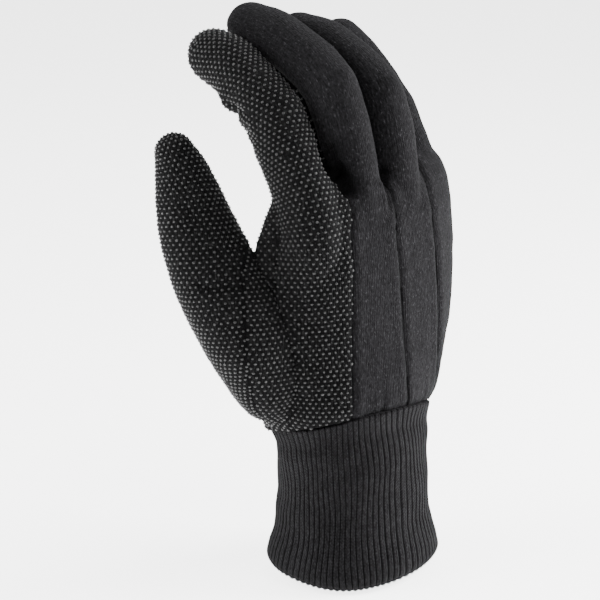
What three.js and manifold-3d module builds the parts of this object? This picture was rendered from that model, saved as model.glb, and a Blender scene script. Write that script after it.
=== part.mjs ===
// A right-hand work glove in the shape that a hand gives it: fingers half closed, thumb apart.
// It is cut and sewn from cotton jersey. One dotted piece makes the palm, the fronts of the
// fingers and all of the forefinger, a second dotted piece makes the thumb, three plain strips
// make the back, and a ribbed knit cuff closes round the wrist. Everything is in millimetres.
//
// +Z runs from the cuff to the fingertips, +X points to the thumb side and +Y out of the back
// of the hand. The origin is the middle of the cuff's open rim, where the hand goes in.

import * as THREE from "three";
import { mergeVertices } from "three/addons/utils/BufferGeometryUtils.js";
import Module from "manifold-3d";

const wasm = await Module();
wasm.setup();

// Driving dimensions.
const JERSEY = 1.8; // wall of the brushed jersey
const KNIT = 2.4; // wall of the cuff, ribs included
const SEAM = 0.3; // open line between two sewn pieces
const RIBS = 78; // ribs round the cuff
const RIB_DEPTH = 0.7; // from the top of a rib to the bottom of its valley

// The wrist seam waves round the wrist: a mean height, and how much it rises at the thumb, at
// the back, between those two and at the front and back over the sides.
const WRIST = { height: 64.1, thumb: 1, back: 6.3, corner: 0.6, flat: 1.4 };
// The open rim does the same, much less.
const RIM = { height: 0.5, thumb: 0.5, back: 0, corner: -1.5, flat: 0 };

// Cuff sections from the rim up: centre, half width across the palm, depth to palm and back.
const CUFF_ROWS = [
  { z: 0, x: 0, halfWidth: 36, palm: 31, back: 31 },
  { z: 5, x: 0, halfWidth: 36.2, palm: 31, back: 31 },
  { z: 10, x: 0, halfWidth: 35.2, palm: 30.2, back: 30.2 },
  { z: 15, x: 0, halfWidth: 33.6, palm: 29, back: 29 },
  { z: 21, x: 0, halfWidth: 32.4, palm: 27.8, back: 27.8 },
  { z: 32, x: 0, halfWidth: 31.4, palm: 27, back: 27 },
  { z: 48, x: 0.8, halfWidth: 31.6, palm: 27, back: 27 },
  { z: 70, x: 3, halfWidth: 33.8, palm: 27.5, back: 27.5 },
];

// The hand leans away from the thumb: its tables have their zero here, seen from the rim's middle.
const HAND_AT = [-2.3, 1.9, 0];

// Hand sections from the wrist seam up: centre, half width, depth to the palm and to the back.
const HAND_ROWS = [
  { z: 64.1, x: 5.6, y: -2.2, halfWidth: 36, palm: 28, back: 28 },
  { z: 71, x: 4.2, y: -1.6, halfWidth: 38.5, palm: 28, back: 27 },
  { z: 82, x: 1.8, y: -0.8, halfWidth: 40.5, palm: 27, back: 25.5 },
  { z: 96, x: -0.5, y: 0, halfWidth: 42, palm: 25, back: 23.5 },
  { z: 112, x: -1.5, y: 0.5, halfWidth: 43.2, palm: 22, back: 22 },
  { z: 130, x: -1.5, y: 1, halfWidth: 43.5, palm: 19, back: 20 },
  { z: 146, x: -1.5, y: 1.5, halfWidth: 42.8, palm: 16, back: 16.5 },
  { z: 155, x: -1.5, y: 1, halfWidth: 42, palm: 13.8, back: 13.8 },
  { z: 160, x: -1.5, y: 0, halfWidth: 41, palm: 10.6, back: 10.6 },
  { z: 164, x: -1.5, y: -1.5, halfWidth: 38.5, palm: 6.5, back: 6.5 },
];

// Each finger: its knuckle, the lengths of its three bones, how far each is bent towards the
// palm in degrees, how far the tip drifts sideways, and its half width and depth.
const FINGERS = {
  index: {
    knuckle: [31, 2.9, 145.5], bones: [44, 27, 16], bends: [30, 56, 72],
    drift: -4, halfWidth: 10.1, halfDepth: 11.2,
  },
  middle: {
    knuckle: [9.6, 3.9, 150.5], bones: [45, 31, 19], bends: [18, 62, 78],
    drift: -2.4, halfWidth: 9.9, halfDepth: 11.2,
  },
  ring: {
    knuckle: [-11.8, 4.7, 146], bones: [43.5, 31, 17], bends: [13, 61, 80],
    drift: -1, halfWidth: 9.8, halfDepth: 10.8,
  },
  little: {
    knuckle: [-32.4, 0.2, 141.5], bones: [40, 24, 13.5], bends: [25, 45, 54],
    drift: 0.5, halfWidth: 9.3, halfDepth: 10.2,
  },
};

// Sections along every finger. Place 0 lies in the hand, 1 at the knuckle, 2 and 3 at the next
// two joints, 4 where the tip begins to close. The sizes are shares of the finger's own: the
// cloth bridges the bends on the palm side and so is fullest there.
const FINGER_SECTIONS = [
  { place: 0, width: 0.9, palm: 0.8, back: 0.9 },
  { place: 0.6, width: 1.02, palm: 1.05, back: 1.08 },
  { place: 1, width: 1.02, palm: 1.15, back: 1.16 },
  { place: 1.25, width: 1, palm: 1.15, back: 1.13 },
  { place: 1.5, width: 0.99, palm: 1.2, back: 1.08 },
  { place: 1.75, width: 1, palm: 1.26, back: 1.04 },
  { place: 2, width: 1, palm: 1.22, back: 1.04 },
  { place: 2.3, width: 1, palm: 1.18, back: 1 },
  { place: 2.65, width: 1, palm: 1.1, back: 0.98 },
  { place: 3, width: 0.99, palm: 1.02, back: 1 },
  { place: 3.5, width: 0.97, palm: 1, back: 0.95 },
  { place: 4, width: 0.93, palm: 0.95, back: 0.87 },
];

// Sections of the thumb from inside the palm to where the tip begins to close.
const THUMB_ROWS = [
  { x: 28, y: -11, z: 71, halfWidth: 9, palm: 12, back: 11 },
  { x: 39, y: -12, z: 83, halfWidth: 14.5, palm: 19, back: 15 },
  { x: 45, y: -15.6, z: 97, halfWidth: 16.5, palm: 22, back: 16 },
  { x: 49, y: -22.4, z: 112, halfWidth: 17.8, palm: 20.5, back: 16 },
  { x: 51.3, y: -30.7, z: 126, halfWidth: 17, palm: 17, back: 15 },
  { x: 52.5, y: -37.6, z: 140, halfWidth: 15.2, palm: 14, back: 14 },
  { x: 53.2, y: -42, z: 153, halfWidth: 12.8, palm: 12.4, back: 12.4 },
  { x: 54.2, y: -45.6, z: 164.5, halfWidth: 9.8, palm: 10.4, back: 10.4 },
  { x: 55.6, y: -47.2, z: 170, halfWidth: 7.6, palm: 8.2, back: 8.2 },
];

// The cloth that bridges the thumb's root and the hand, up to the web below the forefinger.
const WEB_ROWS = [
  { x: 33, y: -7, z: 80, halfWidth: 12, palm: 8, back: 12 },
  { x: 36, y: -11.5, z: 104, halfWidth: 13, palm: 8, back: 13 },
  { x: 35.3, y: -12, z: 124, halfWidth: 9.5, palm: 9, back: 10 },
  { x: 34, y: -10.5, z: 140, halfWidth: 8, palm: 8, back: 8 },
  { x: 31.5, y: -7, z: 156, halfWidth: 6.5, palm: 6.5, back: 6.5 },
];

// The thumb lies along this direction from the wrist's axis, and its width with it.
const THUMB_ANGLE = -40;

// Seams down the back of the hand, by their distance to the thumb side at the wrist and at the
// crotches of the fingers. The last one lies outside the hand: its strip runs to the edge.
const BACK_SEAMS = [
  { wrist: 28, crotch: 22.5 },
  { wrist: -1.5, crotch: 1 },
  { wrist: -24, crotch: -21.6 },
  { wrist: -60, crotch: -60 },
];
const SIDE_SEAM_Y = -2; // the little finger's strip ends here on the edge of the hand
// How far above a finger's middle line its two side seams run, from the knuckle to the tip, on
// the side of the little finger and on the thumb's.
const SIDE_SEAM_RISE = { little: [0, 1, 3, 5], thumb: [0, -3, -4, 0] };

// The thumb's seam, by distance along the thumb's direction and height.
const THUMB_SEAM = [
  [31, 50], [35.5, 84], [39, 120], [42, 139], [50, 154], [66, 192], [120, 192], [120, 50],
];
const FINGER_GAP = 1.4; // air between two fingers
const THUMB_SEAM_TURN = 14; // degrees that its plane is turned from the thumb's direction

const DIGIT_SIDES = 18; // corners of a digit's section
const WEB_SIDES = 12;
const HAND_SIDES = 36;
const CUFF_SIDES = RIBS * 2;
const CUFF_LEVELS = [0, 0.08, 0.16, 0.25, 0.35, 0.55, 0.78, 1];
const TIP_ANGLES = [28, 54, 76]; // rings that close a fingertip, in degrees
const ROUND = 2.2; // how square a section is: 2 is an ellipse
const REACH = 60; // cutting shapes reach this far past the cloth
const SLIVER = 0.03; // facets smaller than this are smoothed away

const { degToRad, lerp } = THREE.MathUtils;

// Reads a table at height z, mixing the two rows around it.
function rowAt(rows, z) {
  const last = rows.length - 1;
  if (z <= rows[0].z) return rows[0];
  if (z >= rows[last].z) return rows[last];
  const i = rows.findIndex((row) => row.z > z) - 1;
  const t = (z - rows[i].z) / (rows[i + 1].z - rows[i].z);
  const names = Object.keys(rows[i]);
  return Object.fromEntries(names.map((name) => [name, lerp(rows[i][name], rows[i + 1][name], t)]));
}

// The height of the wrist seam or of the rim at an angle round the wrist.
function waveHeight(wave, angle) {
  const sides = wave.thumb * Math.cos(angle) + wave.back * Math.sin(angle);
  return wave.height + sides + wave.corner * Math.sin(2 * angle) - wave.flat * Math.cos(2 * angle);
}

// One corner of a rounded section: across runs with the width, up towards the back.
function corner(angle, size) {
  const c = Math.cos(angle);
  const s = Math.sin(angle);
  const depth = s < 0 ? size.palm : size.back;
  return {
    across: Math.sign(c) * Math.abs(c) ** (2 / ROUND) * size.halfWidth,
    up: Math.sign(s) * Math.abs(s) ** (2 / ROUND) * depth,
  };
}

const angles = (sides) => Array.from({ length: sides }, (_, i) => (2 * Math.PI * i) / sides);

const thinner = (size, inset) => ({
  halfWidth: size.halfWidth - inset,
  palm: size.palm - inset,
  back: size.back - inset,
});

// Skins a list of equal rings. An open loft gets a cap at each end, a looped one joins its last
// ring to its first.
function loft(rings, looped = false) {
  const sides = rings[0].length;
  const points = rings.flat();
  const faces = [];
  const bands = looped ? rings.length : rings.length - 1;
  for (let k = 0; k < bands; k++) {
    const above = ((k + 1) % rings.length) * sides;
    for (let i = 0; i < sides; i++) {
      const next = (i + 1) % sides;
      const a = k * sides + i;
      const b = k * sides + next;
      faces.push(a, b, above + next, a, above + next, above + i);
    }
  }
  if (!looped) {
    for (const ring of [0, rings.length - 1]) {
      const middle = rings[ring].reduce((sum, p) => sum.add(p), new THREE.Vector3());
      points.push(middle.divideScalar(sides));
      for (let i = 0; i < sides; i++) {
        const edge = [ring * sides + i, ring * sides + ((i + 1) % sides)];
        if (ring === 0) edge.reverse();
        faces.push(...edge, points.length - 1);
      }
    }
  }
  const geometry = new THREE.BufferGeometry().setFromPoints(points);
  geometry.setIndex(faces);
  return geometry;
}

// Turns a geometry into a solid that can be joined and cut, and back again.
function solidOf(geometry) {
  const bare = geometry.clone();
  bare.deleteAttribute("normal");
  bare.deleteAttribute("uv");
  const merged = mergeVertices(bare);
  return new wasm.Manifold(
    new wasm.Mesh({
      numProp: 3,
      vertProperties: new Float32Array(merged.attributes.position.array),
      triVerts: new Uint32Array(merged.index.array),
    }),
  );
}

function geometryOf(solid) {
  const mesh = solid.getMesh();
  const geometry = new THREE.BufferGeometry();
  geometry.setAttribute("position", new THREE.BufferAttribute(mesh.vertProperties, 3));
  geometry.setIndex(new THREE.BufferAttribute(mesh.triVerts, 1));
  geometry.computeVertexNormals();
  return geometry;
}

const joined = (solids) => solids.reduce((all, one) => all.add(one));

// The largest body of a solid, without the slivers and crumbs that a cut leaves at a seam.
const largest = (solid) =>
  solid.decompose().sort((a, b) => b.volume() - a.volume())[0].simplify(SLIVER);

// The hand from the wrist seam to the crotches of the fingers. Its lower end is level from the
// outside of the cloth inwards, and the inside form runs out below it.
function handSolid(inset) {
  const ringAt = (row, size, waving, shift) =>
    angles(HAND_SIDES).map((angle) => {
      const at = corner(angle, size);
      const wave = (waveHeight(WRIST, angle) - WRIST.height) * waving;
      return new THREE.Vector3(row.x + at.across, row.y + at.up, row.z + wave + shift);
    });
  const last = HAND_ROWS.length - 1;
  const rings = HAND_ROWS.map((row, k) => {
    const shift = k === 0 ? -4 * inset : k === last ? -inset : 0;
    return ringAt(row, thinner(row, inset), Math.max(0, 1 - k / 4), shift);
  });
  const [first] = HAND_ROWS;
  return solidOf(loft([ringAt(first, thinner(first, inset + REACH / 5), 1, -4 * inset), ...rings]));
}

// The middle line of a finger, from inside the hand to where the tip begins to close.
function fingerCurve({ knuckle, bones, bends, drift }) {
  const total = bones.reduce((sum, bone) => sum + bone, 0);
  const at = new THREE.Vector3(...knuckle);
  const points = [at.clone().setZ(at.z - bones[0] / 2), at.clone()];
  bones.forEach((bone, i) => {
    const bend = degToRad(bends[i]);
    at.x += (drift * bone) / total;
    at.y -= bone * Math.sin(bend);
    at.z += bone * Math.cos(bend);
    points.push(at.clone());
  });
  return new THREE.CatmullRomCurve3(points);
}

// The thumb and the web follow the centres in their own tables.
const tableCurve = (rows) =>
  new THREE.CatmullRomCurve3(rows.map((row) => new THREE.Vector3(row.x, row.y, row.z)));

// The axes of a digit at one place on its curve: along it, across it and out of its back.
function axesAt(curve, t, width) {
  const along = curve.getTangent(t);
  const across = width.clone().addScaledVector(along, -width.dot(along)).normalize();
  return { centre: curve.getPoint(t), along, across, up: along.clone().cross(across) };
}

// Skins a digit along its curve and rounds off its tip.
function digitSolid(curve, sections, width, sides, inset) {
  const ringAt = (axes, centre, size) =>
    angles(sides).map((angle) => {
      const at = corner(angle, size);
      const point = centre.clone().addScaledVector(axes.across, at.across);
      return point.addScaledVector(axes.up, at.up);
    });
  const rings = sections.map((section) => {
    const axes = axesAt(curve, section.t, width);
    return ringAt(axes, axes.centre, thinner(section, inset));
  });
  const end = thinner(sections.at(-1), inset);
  const axes = axesAt(curve, 1, width);
  const reach = Math.min(end.halfWidth, (end.palm + end.back) / 2);
  for (const degrees of TIP_ANGLES) {
    const angle = degToRad(degrees);
    const share = Math.cos(angle);
    const centre = axes.centre.clone().addScaledVector(axes.along, reach * Math.sin(angle));
    const size = { halfWidth: end.halfWidth * share, palm: end.palm * share, back: end.back * share };
    rings.push(ringAt(axes, centre, size));
  }
  return solidOf(loft(rings));
}

const X_AXIS = new THREE.Vector3(1, 0, 0);
const THUMB_AXIS = X_AXIS.clone().applyAxisAngle(new THREE.Vector3(0, 0, 1), degToRad(THUMB_ANGLE));

function fingerSolid(finger, inset) {
  const sections = FINGER_SECTIONS.map(({ place, width, palm, back }) => ({
    t: place / 4,
    halfWidth: finger.halfWidth * width,
    palm: finger.halfDepth * palm,
    back: finger.halfDepth * back,
  }));
  return digitSolid(fingerCurve(finger), sections, X_AXIS, DIGIT_SIDES, inset);
}

function tableSolid(rows, sides, inset) {
  const sections = rows.map((row, i) => ({ ...row, t: i / (rows.length - 1) }));
  return digitSolid(tableCurve(rows), sections, THUMB_AXIS.clone().negate(), sides, inset);
}

// The whole form of the hand, outside (inset 0) or inside.
const handForm = (inset) =>
  joined([
    handSolid(inset),
    ...Object.values(FINGERS).map((finger) => fingerSolid(finger, inset)),
    tableSolid(THUMB_ROWS, DIGIT_SIDES, inset),
    tableSolid(WEB_ROWS, WEB_SIDES, inset),
  ]);

// A strip of the back: from the wrist up between two seams, then along the back half of one
// finger and past its tip. It is made narrower on every side by a margin.
function stripSolid(finger, thumbSeam, littleSeam, margin) {
  const quad = (centre, across, up, right, left, lowLeft, lowRight) =>
    [[left + margin, lowLeft + margin], [right - margin, lowRight + margin],
      [right - margin, REACH / 2], [left + margin, REACH / 2]].map(([a, u]) =>
      centre.clone().addScaledVector(across, a).addScaledVector(up, u));
  const yAxis = new THREE.Vector3(0, 1, 0);
  const atEdge = littleSeam === BACK_SEAMS.at(-1);
  const low = atEdge ? SIDE_SEAM_Y : 0;
  const onHand = (z, name) =>
    quad(new THREE.Vector3(0, 0, z), X_AXIS, yAxis, thumbSeam[name], littleSeam[name], low, low);
  const curve = fingerCurve(finger);
  const half = finger.halfWidth + FINGER_GAP / 2;
  const left = atEdge ? -2 * half : -half;
  const onFinger = FINGER_SECTIONS.filter(({ place }) => place >= 1).map(({ place }) => {
    const { centre, across, up } = axesAt(curve, place / 4, X_AXIS);
    const joint = Math.floor(place) - 1;
    const rise = (side) => {
      const [from, to = from] = SIDE_SEAM_RISE[side].slice(joint, joint + 2);
      return lerp(from, to, place % 1);
    };
    return quad(centre, across, up, half, left, rise("little"), rise("thumb"));
  });
  const tip = axesAt(curve, 1, X_AXIS);
  const past = onFinger.at(-1).map((p) => p.clone().addScaledVector(tip.along, REACH / 2));
  return solidOf(loft([onHand(WRIST.height - 20, "wrist"), onHand(finger.knuckle[2] - 9, "crotch"),
    ...onFinger, past]));
}

// Everything on the thumb's side of its seam, taken back by a margin.
function thumbSide(margin) {
  const outline = new THREE.Shape(THUMB_SEAM.map(([s, z]) => new THREE.Vector2(s + margin, z)));
  const block = new THREE.ExtrudeGeometry(outline, { depth: 2 * REACH, bevelEnabled: false });
  block.translate(0, 0, -REACH);
  block.rotateX(Math.PI / 2);
  block.rotateZ(degToRad(THUMB_ANGLE - THUMB_SEAM_TURN));
  return solidOf(block);
}

// The ribbed cuff: up its outside and down its plain inside.
function cuffGeometry() {
  const ring = (level, inside) =>
    angles(CUFF_SIDES).map((angle, i) => {
      const z = lerp(waveHeight(RIM, angle), waveHeight(WRIST, angle) - SEAM, level);
      const row = rowAt(CUFF_ROWS, z);
      const valley = i % 2 ? RIB_DEPTH : 0;
      const at = corner(angle, thinner(row, inside ? KNIT : valley));
      return new THREE.Vector3(row.x + at.across, at.up, z);
    });
  const outside = CUFF_LEVELS.map((level) => ring(level, false));
  const inside = CUFF_LEVELS.toReversed().map((level) => ring(level, true));
  return loft([...outside, ...inside], true);
}

const dotted = { color: 0x262625, roughness: 0.86, metalness: 0 };
const plain = { color: 0x303031, roughness: 0.97, metalness: 0 };
const ribbed = { color: 0x222223, roughness: 0.95, metalness: 0 };

const glove = new THREE.Group();
glove.name = "dotted_jersey_glove";

function addCloth(name, solid, look) {
  addPiece(name, geometryOf(largest(solid)).translate(...HAND_AT), look);
}

function addPiece(name, geometry, look) {
  const mesh = new THREE.Mesh(geometry, new THREE.MeshStandardMaterial(look));
  mesh.name = name;
  glove.add(mesh);
}

// The sewn shell is one hollow form, and every seam cuts an open line into it.
const shell = handForm(0).subtract(handForm(JERSEY));
const [indexSeam, middleSeam, ringSeam, edgeSeam] = BACK_SEAMS;
const strips = {
  middle_back_panel: [FINGERS.middle, indexSeam, middleSeam],
  ring_back_panel: [FINGERS.ring, middleSeam, ringSeam],
  little_back_panel: [FINGERS.little, ringSeam, edgeSeam],
};
const cutAway = joined([
  thumbSide(-SEAM / 2),
  ...Object.values(strips).map((strip) => stripSolid(...strip, -SEAM / 2)),
]);

addCloth("palm_panel", shell.subtract(cutAway), dotted);
addCloth("thumb_panel", shell.intersect(thumbSide(SEAM / 2)), dotted);
for (const [name, strip] of Object.entries(strips)) {
  addCloth(name, shell.intersect(stripSolid(...strip, SEAM / 2)), plain);
}
addPiece("knit_cuff", cuffGeometry(), ribbed);

export default glove;
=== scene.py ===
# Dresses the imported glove: a smooth jersey skin cut into its sewn panels, raised dots on the
# dotted pieces, and a cuff with real ribs. Tables are in millimetres and follow the part's own.

import math

import bmesh
import bpy
import numpy as np
from mathutils import Matrix, Vector, noise
from mathutils.bvhtree import BVHTree


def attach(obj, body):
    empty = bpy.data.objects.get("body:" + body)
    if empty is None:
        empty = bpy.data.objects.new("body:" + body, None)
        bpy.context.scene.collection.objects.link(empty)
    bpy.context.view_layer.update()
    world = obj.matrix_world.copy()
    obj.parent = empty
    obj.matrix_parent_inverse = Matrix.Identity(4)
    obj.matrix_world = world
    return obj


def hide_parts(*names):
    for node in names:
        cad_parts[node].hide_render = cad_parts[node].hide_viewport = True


mm = 0.001
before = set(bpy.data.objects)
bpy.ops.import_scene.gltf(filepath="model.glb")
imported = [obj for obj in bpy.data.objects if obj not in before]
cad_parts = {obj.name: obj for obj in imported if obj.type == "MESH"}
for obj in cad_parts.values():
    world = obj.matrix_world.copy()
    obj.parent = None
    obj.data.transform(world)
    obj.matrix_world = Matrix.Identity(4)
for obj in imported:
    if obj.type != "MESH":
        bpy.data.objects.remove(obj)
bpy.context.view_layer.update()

# The photograph's two views of the glove: the side seen from, and the pixel of the origin.
shots = {
    "back": {"azimuth": 140, "originPixel": (517.5, 564)},
    "palm": {"azimuth": -40, "originPixel": (85.5, 564)},
}

# The camera stands where the view of the back was taken from. There the glove stands right
# of the middle, so the camera is turned towards it. Scale is millimetres to a pixel.
view = {
    "elevation": 17, "distance": 1000, "scale": 0.4, "imageSize": 600,
    "lens": 148, "sensor": 36, "turn": 4.05,
}

# Lamps: azimuth, elevation, distance and size in metres, power. All face the glove's middle.
lamps = {
    "top": (188, 62, 0.9, 0.4, 6), "key": (236, 26, 0.7, 0.4, 16),
    "fill": (60, 35, 0.6, 0.4, 6), "back": (-40, 45, 0.9, 0.6, 4),
}
studio = {"world": 0.02, "glow": 3.6, "floor": -2.2, "floorSpan": 3000, "middle": 0.11}

# Wave of the wrist seam and of the rim round the wrist.
wrist = {"height": 64.1, "thumb": 1, "back": 6.3, "corner": 0.6, "flat": 1.4}
rim = {"height": 0.5, "thumb": 0.5, "back": 0, "corner": -1.5, "flat": 0}

# Cuff: height, centre, half width, depth to the palm, depth to the back.
cuffRows = [
    (0, 0, 36, 31, 31), (5, 0, 36.2, 31, 31), (10, 0, 35.2, 30.2, 30.2), (15, 0, 33.6, 29, 29),
    (21, 0, 32.4, 27.8, 27.8), (32, 0, 31.4, 27, 27), (48, 0.8, 31.6, 27, 27),
    (70, 3, 33.8, 27.5, 27.5),
]

# The hand's tables have their zero here, seen from the middle of the rim.
handAt = np.array([-2.3, 1.9, 0])

# Hand: height, centre x and y, half width, depth to the palm, depth to the back.
handRows = [
    (64.1, 5.6, -2.2, 36, 28, 28), (71, 4.2, -1.6, 38.5, 28, 27), (82, 1.8, -0.8, 40.5, 27, 25.5),
    (96, -0.5, 0, 42, 25, 23.5), (112, -1.5, 0.5, 43.2, 22, 22), (130, -1.5, 1, 43.5, 19, 20),
    (146, -1.5, 1.5, 42.8, 16, 16.5), (155, -1.5, 1, 42, 13.8, 13.8),
    (160, -1.5, 0, 41, 10.6, 10.6), (164, -1.5, -1.5, 38.5, 6.5, 6.5),
]

fingers = {
    "index": {
        "knuckle": (31, 2.9, 145.5), "bones": (44, 27, 16), "bends": (30, 56, 72),
        "drift": -4, "halfWidth": 10.1, "halfDepth": 11.2,
    },
    "middle": {
        "knuckle": (9.6, 3.9, 150.5), "bones": (45, 31, 19), "bends": (18, 62, 78),
        "drift": -2.4, "halfWidth": 9.9, "halfDepth": 11.2,
    },
    "ring": {
        "knuckle": (-11.8, 4.7, 146), "bones": (43.5, 31, 17), "bends": (13, 61, 80),
        "drift": -1, "halfWidth": 9.8, "halfDepth": 10.8,
    },
    "little": {
        "knuckle": (-32.4, 0.2, 141.5), "bones": (40, 24, 13.5), "bends": (25, 45, 54),
        "drift": 0.5, "halfWidth": 9.3, "halfDepth": 10.2,
    },
}

# Finger sections: place (1 to 3 are the joints), then shares of the finger's half width and
# of its half depth to the palm and to the back.
fingerSections = [
    (0, 0.9, 0.8, 0.9), (0.6, 1.02, 1.05, 1.08), (1, 1.02, 1.15, 1.16), (1.25, 1, 1.15, 1.13),
    (1.5, 0.99, 1.2, 1.08), (1.75, 1, 1.26, 1.04), (2, 1, 1.22, 1.04), (2.3, 1, 1.18, 1),
    (2.65, 1, 1.1, 0.98), (3, 0.99, 1.02, 1), (3.5, 0.97, 1, 0.95), (4, 0.93, 0.95, 0.87),
]

# Thumb and web: centre, half width, depth to the palm, depth to the back.
thumbRows = [
    (28, -11, 71, 9, 12, 11), (39, -12, 83, 14.5, 19, 15), (45, -15.6, 97, 16.5, 22, 16),
    (49, -22.4, 112, 17.8, 20.5, 16), (51.3, -30.7, 126, 17, 17, 15),
    (52.5, -37.6, 140, 15.2, 14, 14), (53.2, -42, 153, 12.8, 12.4, 12.4),
    (54.2, -45.6, 164.5, 9.8, 10.4, 10.4), (55.6, -47.2, 170, 7.6, 8.2, 8.2),
]
webRows = [
    (33, -7, 80, 12, 8, 12), (36, -11.5, 104, 13, 8, 13), (35.3, -12, 124, 9.5, 9, 10),
    (34, -10.5, 140, 8, 8, 8), (31.5, -7, 156, 6.5, 6.5, 6.5),
]
thumbAngle = math.radians(-40)

# The form is lofted a little too thin, joined by a voxel remesh, and swollen again by the inset.
skin = {
    "sides": 60, "rings": 60, "tipRings": 9, "round": 2.2, "voxel": 0.92, "smoothing": 6,
    "inset": 1.0, "wall": 1.7, "seed": 5, "below": 12, "waveRows": 4, "tipPoint": 0.02,
}
seams = {
    "groove": 0.75, "grooveWidth": 1.0, "lip": 0.3, "lipAt": 3.2, "lipWidth": 2,
    "sameCloth": 0.4, "sameReach": 6, "proud": 0.35, "proudWidth": 2.5, "hem": 1.0, "hemReach": 2.0,
}

# How far the plain cloth comes down the side of the middle finger, and where.
sideCloth = {"reach": 3.5, "near": 16, "nearFade": 3, "facing": 5, "from": 162, "fade": 10}


# Rounded sections and lofts

def waveHeight(wave, angle):
    sides = wave["thumb"] * np.cos(angle) + wave["back"] * np.sin(angle)
    corners = wave["corner"] * np.sin(2 * angle) - wave["flat"] * np.cos(2 * angle)
    return wave["height"] + sides + corners


def sectionCorners(sides, halfWidth, palm, back):
    angle = np.arange(sides) * 2 * np.pi / sides
    c = np.cos(angle)
    s = np.sin(angle)
    depth = np.where(s < 0, palm, back) - skin["inset"]
    power = 2 / skin["round"]
    return np.sign(c) * abs(c) ** power * (halfWidth - skin["inset"]), np.sign(s) * abs(s) ** power * depth


# A curve through points at even steps, as the part's own centre lines run.
def curvePoint(points, t):
    points = np.asarray(points, float)
    spans = len(points) - 1
    ends = np.vstack([2 * points[0] - points[1], points, 2 * points[-1] - points[-2]])
    k = min(int(t * spans), spans - 1)
    w = t * spans - k
    p0, p1, p2, p3 = ends[k:k + 4]
    d0, d1, d2 = (np.sqrt(np.linalg.norm(b - a)) for a, b in ((p0, p1), (p1, p2), (p2, p3)))
    m1 = ((p1 - p0) / d0 - (p2 - p0) / (d0 + d1) + (p2 - p1) / d1) * d1
    m2 = ((p2 - p1) / d1 - (p3 - p1) / (d1 + d2) + (p3 - p2) / d2) * d1
    bend = -3 * p1 + 3 * p2 - 2 * m1 - m2
    return p1 + m1 * w + bend * w * w + (2 * p1 - 2 * p2 + m1 + m2) * w ** 3


def axesAt(points, t, width):
    step = 0.001
    along = curvePoint(points, min(t + step, 1)) - curvePoint(points, max(t - step, 0))
    along /= np.linalg.norm(along)
    across = width - along * np.dot(width, along)
    across /= np.linalg.norm(across)
    return curvePoint(points, t), along, across, np.cross(along, across)


def fingerLine(finger):
    at = np.array(finger["knuckle"], float)
    points = [at - (0, 0, finger["bones"][0] / 2), at.copy()]
    for bone, bend in zip(finger["bones"], finger["bends"]):
        turn = math.radians(bend)
        step = (finger["drift"] * bone / sum(finger["bones"]), -bone * math.sin(turn), bone * math.cos(turn))
        at = at + step
        points.append(at.copy())
    return np.array(points)


def digitLoft(line, table, width):
    table = np.asarray(table, float)
    rings = []
    for t in np.linspace(0, 1, skin["rings"]):
        centre, along, across, up = axesAt(line, t, width)
        size = [np.interp(t, table[:, 0], table[:, i]) for i in (1, 2, 3)]
        a, u = sectionCorners(skin["sides"], *size)
        rings.append(centre + np.outer(a, across) + np.outer(u, up))
    reach = min(size[0], (size[1] + size[2]) / 2)
    for turn in np.linspace(0, np.pi / 2, skin["tipRings"] + 1)[1:]:
        share = max(math.cos(turn), skin["tipPoint"])
        a, u = sectionCorners(skin["sides"], *size)
        tip = centre + along * (reach - skin["inset"]) * math.sin(turn)
        rings.append(tip + np.outer(a * share, across) + np.outer(u * share, up))
    return rings


def handLoft():
    table = np.array(handRows, float)
    low = table[0, 0] - skin["below"]
    heights = np.concatenate([[low], np.linspace(table[0, 0], table[-1, 0], skin["rings"])])
    angle = np.arange(skin["sides"] * 2) * np.pi / skin["sides"]
    rings = []
    for z in heights:
        x, y, halfWidth, palm, back = (np.interp(z, table[:, 0], table[:, i]) for i in range(1, 6))
        fade = np.clip(1 - np.interp(z, table[:, 0], np.arange(len(table))) / skin["waveRows"], 0, 1)
        wave = (waveHeight(wrist, angle) - wrist["height"]) * fade
        a, u = sectionCorners(len(angle), halfWidth, palm, back)
        rings.append(np.column_stack([x + a, y + u, z + wave]))
    return rings


def loftMesh(rings, points, faces):
    sides = len(rings[0])
    start = sum(len(p) for p in points)
    points.extend(rings)
    for k in range(len(rings) - 1):
        for i in range(sides):
            j = (i + 1) % sides
            a = start + k * sides
            faces.append((a + i, a + j, a + sides + j, a + sides + i))
    last = start + (len(rings) - 1) * sides
    faces.append(tuple(range(start + sides - 1, start - 1, -1)))
    faces.append(tuple(range(last, last + sides)))


def meshObject(name, points, faces, scale=mm):
    mesh = bpy.data.meshes.new(name)
    mesh.from_pydata((np.asarray(points) * scale).tolist(), [], [tuple(map(int, f)) for f in faces])
    mesh.update()
    obj = bpy.data.objects.new(name, mesh)
    bpy.context.collection.objects.link(obj)
    return obj


# The angle round the wrist, as the sections of the wrist seam count it.
def wristAngle(points):
    z, x, y, halfWidth, palm, back = handRows[0]
    dx, dy = points[:, 0] - x, points[:, 1] - y
    return np.arctan2(dy / back, dx / halfWidth)


# Applies an object's modifiers by taking the evaluated mesh.
def bake(obj):
    graph = bpy.context.evaluated_depsgraph_get()
    mesh = bpy.data.meshes.new_from_object(obj.evaluated_get(graph), depsgraph=graph)
    old = obj.data
    obj.modifiers.clear()
    obj.data = mesh
    bpy.data.meshes.remove(old)
    return obj


def meshArrays(mesh):
    mesh.calc_loop_triangles()
    points = np.empty(len(mesh.vertices) * 3)
    mesh.vertices.foreach_get("co", points)
    tris = np.empty(len(mesh.loop_triangles) * 3, np.int32)
    mesh.loop_triangles.foreach_get("vertices", tris)
    return points.reshape(-1, 3) / mm, tris.reshape(-1, 3)


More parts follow.
